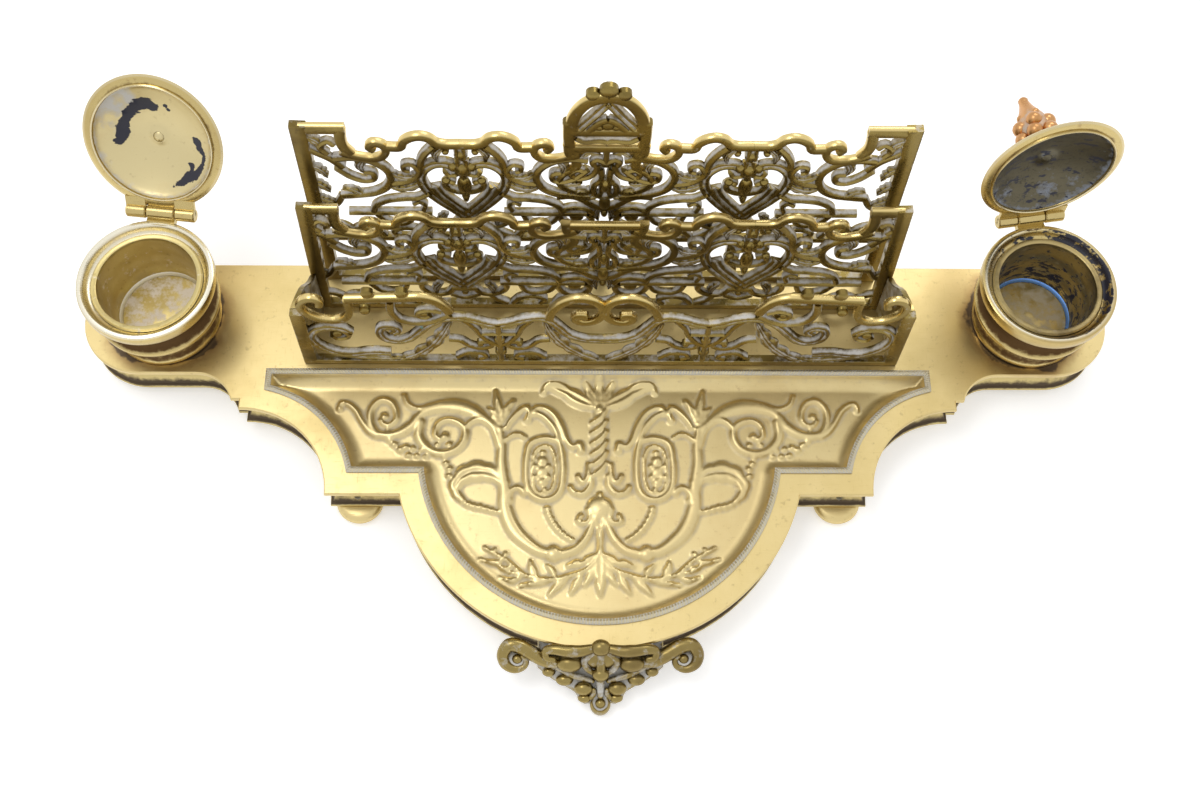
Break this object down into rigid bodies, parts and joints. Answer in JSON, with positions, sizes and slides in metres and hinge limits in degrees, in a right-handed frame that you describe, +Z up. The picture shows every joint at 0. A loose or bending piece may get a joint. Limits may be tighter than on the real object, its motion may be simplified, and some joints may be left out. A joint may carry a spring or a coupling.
{
  "type": "desk inkstand",
  "caption": "Footed brass desk stand with a tiered pierced letter rack, a dished pen tray and turned inkwells under hinged domed lids.",
  "frame": {"origin": "middle of the stand's footprint, with the lids as stored, on the surface that it stands on", "axes": "+X to the user's right along the letter rack, +Y to the back, +Z up"},
  "size_m": [0.4, 0.2234, 0.1431],
  "materials": {
    "brass": "polished, scratched",
    "rack_brass": "toned cast, pale residue in the recesses",
    "copper": "copper-toned, polished",
    "lining": "ink-stained",
    "steel": "dull"
  },
  "bodies": {
    "root": {"top_plate": "brass", "apron_casing": "brass", "pen_tray": "brass", "tray_border": "brass", "front_ornament": "brass", "ornament_screw": "steel", "foot_front_left": "brass", "foot_front_right": "brass", "foot_back_left": "brass", "foot_back_right": "brass", "foot_screw_front_left": "steel", "foot_screw_front_right": "steel", "foot_screw_back_left": "steel", "foot_screw_back_right": "steel", "rack_front_panel": "rack_brass", "rack_middle_panel": "rack_brass", "rack_back_panel": "rack_brass", "rack_end_left": "rack_brass", "rack_end_right": "rack_brass", "rack_nut_front_left": "steel", "rack_nut_front_right": "steel", "rack_nut_middle_left": "steel", "rack_nut_middle_right": "steel", "rack_nut_back_left": "steel", "rack_nut_back_right": "steel", "left_well_body": "brass", "left_well_liner": "lining", "left_well_nut": "steel", "left_hinge_pin": "brass", "right_well_body": "brass", "right_well_liner": "lining", "right_well_nut": "steel", "right_hinge_pin": "brass"},
    "left_lid_body": {"left_lid": "brass", "left_finial": "copper"},
    "right_lid_body": {"right_lid": "brass", "right_finial": "copper"}
  },
  "joints": [
    {"name": "left_lid_hinge", "type": "hinge", "parent": "root", "child": "left_lid_body", "pos_m": [-0.16528, 0.06683, 0.051], "axis": [-0.9945, 0.1045, 0], "range_deg": [-123, 0]},
    {"name": "right_lid_hinge", "type": "hinge", "parent": "root", "child": "right_lid_body", "pos_m": [0.16408, 0.06668, 0.051], "axis": [-0.989, -0.1478, 0], "range_deg": [-96, 25]}
  ]
}
